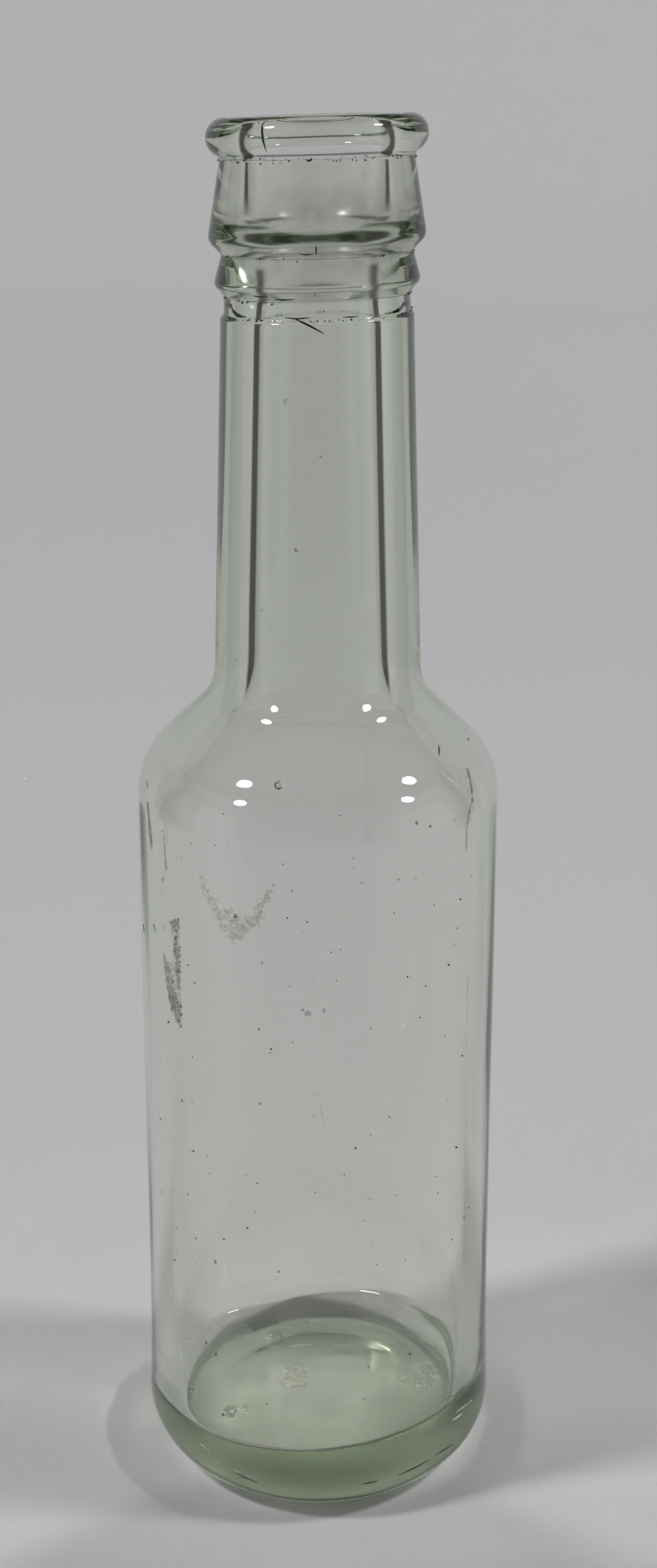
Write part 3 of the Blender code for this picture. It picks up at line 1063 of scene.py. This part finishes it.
# The floor: a sweep of pale paper, flat under the bottle and rising far behind it on all sides. Its two
# strips of painted shade, left and right, are what the thick glass shows as the dark lines of its bore; its
# front, by the camera, is greyer with painted shade; and under the bottle it is paler with painted light.
STAGE_FLAT = 1.6
STAGE_RISE = 0.8
STAGE_TOP = 1.5
STAGE_GAP = 0.1 * MM
PAPER_ROUGHNESS = 0.6
PAPER_NEAR = (0.6, 0.6, 0.61, 1.0)
PAPER_FAR = (0.74, 0.74, 0.75, 1.0)
PAINTED_LIGHT_UNDER_GLASS = (0.82, 0.81, 0.83, 1.0)
PAPER_PAINTED_SHADE = (0.02, 0.02, 0.02, 1.0)
SHADE_BY_CAMERA = 0.45
SHADE_BY_BOTTLE = 0.24


def pale_paper():
    """Matt paper, with painted shade in strips at its sides and over its front, and painted light under the
    glass. The turn of a place is 0 behind the bottle and 180 degrees towards the camera.
    """
    material, tree, shader = new_material("pale_paper")
    shader.inputs["Roughness"].default_value = PAPER_ROUGHNESS
    at = split(tree, tree.nodes.new("ShaderNodeTexCoord").outputs["Object"])
    out = from_axis(tree, at)
    turn = math_node(tree, "ARCTAN2", math_node(tree, "ABSOLUTE", at["X"]), at["Y"])
    from_back = ramp(tree, turn, math.radians(56), math.radians(62))
    to_side = ramp(tree, turn, math.radians(88), math.radians(80))
    shade_strips = times(tree, times(tree, from_back, to_side), ramp(tree, out, 0.42, 0.50))
    ahead = ramp(tree, turn, math.radians(120), math.radians(135))
    camera_side_shade = times(tree, ramp(tree, out, 0.36, 0.55), SHADE_BY_CAMERA)
    front_shade = times(tree, ramp(tree, out, 0.0, 0.05), SHADE_BY_BOTTLE)
    # Painted shade: the two side strips and the greyer front towards the camera.
    painted_shade = math_node(tree, "MAXIMUM", shade_strips, times(tree, ahead, plus(tree, camera_side_shade, front_shade)))
    pale = mixed(tree, ramp(tree, out, 0.4, 1.8), PAPER_NEAR, PAPER_FAR)
    # Painted light: the paper is paler under the bottle, for the lamp light that the glass gathers onto it.
    under = mixed(tree, ramp(tree, out, 23.5 * MM, 19.0 * MM), pale, PAINTED_LIGHT_UNDER_GLASS)
    tree.links.new(mixed(tree, painted_shade, under, PAPER_PAINTED_SHADE), shader.inputs["Base Color"])
    return material


def sweep_mesh():
    """A flat disc whose rim curves up into a low wall."""
    mesh = bmesh.new()
    line = [(0.0, 0.0), (0.3, 0.0), (0.8, 0.0)]
    steps = 12
    for i in range(steps + 1):
        angle = math.radians(90) * i / steps
        line.append((STAGE_FLAT + STAGE_RISE * math.sin(angle), STAGE_RISE * (1 - math.cos(angle))))
    line.append((STAGE_FLAT + STAGE_RISE, STAGE_TOP))
    verts = [mesh.verts.new((r, 0.0, z)) for r, z in line]
    edges = [mesh.edges.new(pair) for pair in zip(verts, verts[1:])]
    bmesh.ops.spin(
        mesh, geom=verts + edges, axis=(0, 0, 1), cent=(0, 0, 0), angle=math.tau, steps=96, use_merge=True
    )
    bmesh.ops.remove_doubles(mesh, verts=mesh.verts, dist=WELD)
    bmesh.ops.translate(mesh, verts=mesh.verts, vec=(0, 0, -STAGE_GAP))
    bmesh.ops.recalc_face_normals(mesh, faces=mesh.faces)
    data = bpy.data.meshes.new("floor")
    mesh.to_mesh(data)
    mesh.free()
    if data.polygons[0].normal.z < 0:
        data.flip_normals()
    data.shade_smooth()
    return data


floor = add_object("floor", sweep_mesh())
floor.data.materials.append(pale_paper())


# The light: two round lamps of the same size, high on the left and on the right, and a weak even glow
# from all round.
LAMP_DISTANCE = 3.0
LAMP_SIZE = 0.42
LAMP_AIM = Vector((0, 0, 0.09))
ROOM_GLOW = 0.15


def lamp(name, azimuth, elevation, power):
    """A round lamp that faces the bottle. Azimuth 0 is the camera's side, and +90 is the right."""
    data = bpy.data.lights.new(name, "AREA")
    data.shape = "DISK"
    data.size = LAMP_SIZE
    data.energy = power
    lit = add_object(name, data)
    angle = math.radians(azimuth)
    rise = math.radians(elevation)
    flat = LAMP_DISTANCE * math.cos(rise)
    lit.location = (flat * math.sin(angle), -flat * math.cos(angle), LAMP_DISTANCE * math.sin(rise))
    lit.rotation_euler = (LAMP_AIM - lit.location).to_track_quat("-Z", "Y").to_euler()


lamp("left_lamp", azimuth=-70, elevation=53, power=34.5)
lamp("right_lamp", azimuth=84, elevation=48, power=32.5)

world = bpy.data.worlds.new("room")
bpy.context.scene.world = world
world.use_nodes = True
world.node_tree.nodes["Background"].inputs["Color"].default_value = (1.0, 1.0, 1.0, 1.0)
world.node_tree.nodes["Background"].inputs["Strength"].default_value = ROOM_GLOW


# The camera: just above the level of the mouth and close by, looking down at the middle of the bottle.
# Light is followed far enough to pass through all the walls of the glass.
camera_data = bpy.data.cameras.new("camera")
camera_data.sensor_width = 36
camera_data.lens = FOCAL_PIXELS / FRAME_PIXELS[1] * camera_data.sensor_width
camera_data.clip_start = 0.01
camera = add_object("camera", camera_data)
camera.location = CAMERA_PLACE
camera.rotation_euler = (math.pi / 2 - LOOK_DOWN, 0, 0)
bpy.context.scene.camera = camera

bpy.context.scene.view_settings.view_transform = "Standard"
glass_bounces = 24
cycles = bpy.context.scene.cycles
cycles.max_bounces = glass_bounces
cycles.transmission_bounces = glass_bounces
cycles.glossy_bounces = glass_bounces
cycles.diffuse_bounces = 6
cycles.sample_clamp_indirect = 0.0
cycles.blur_glossy = 0.0
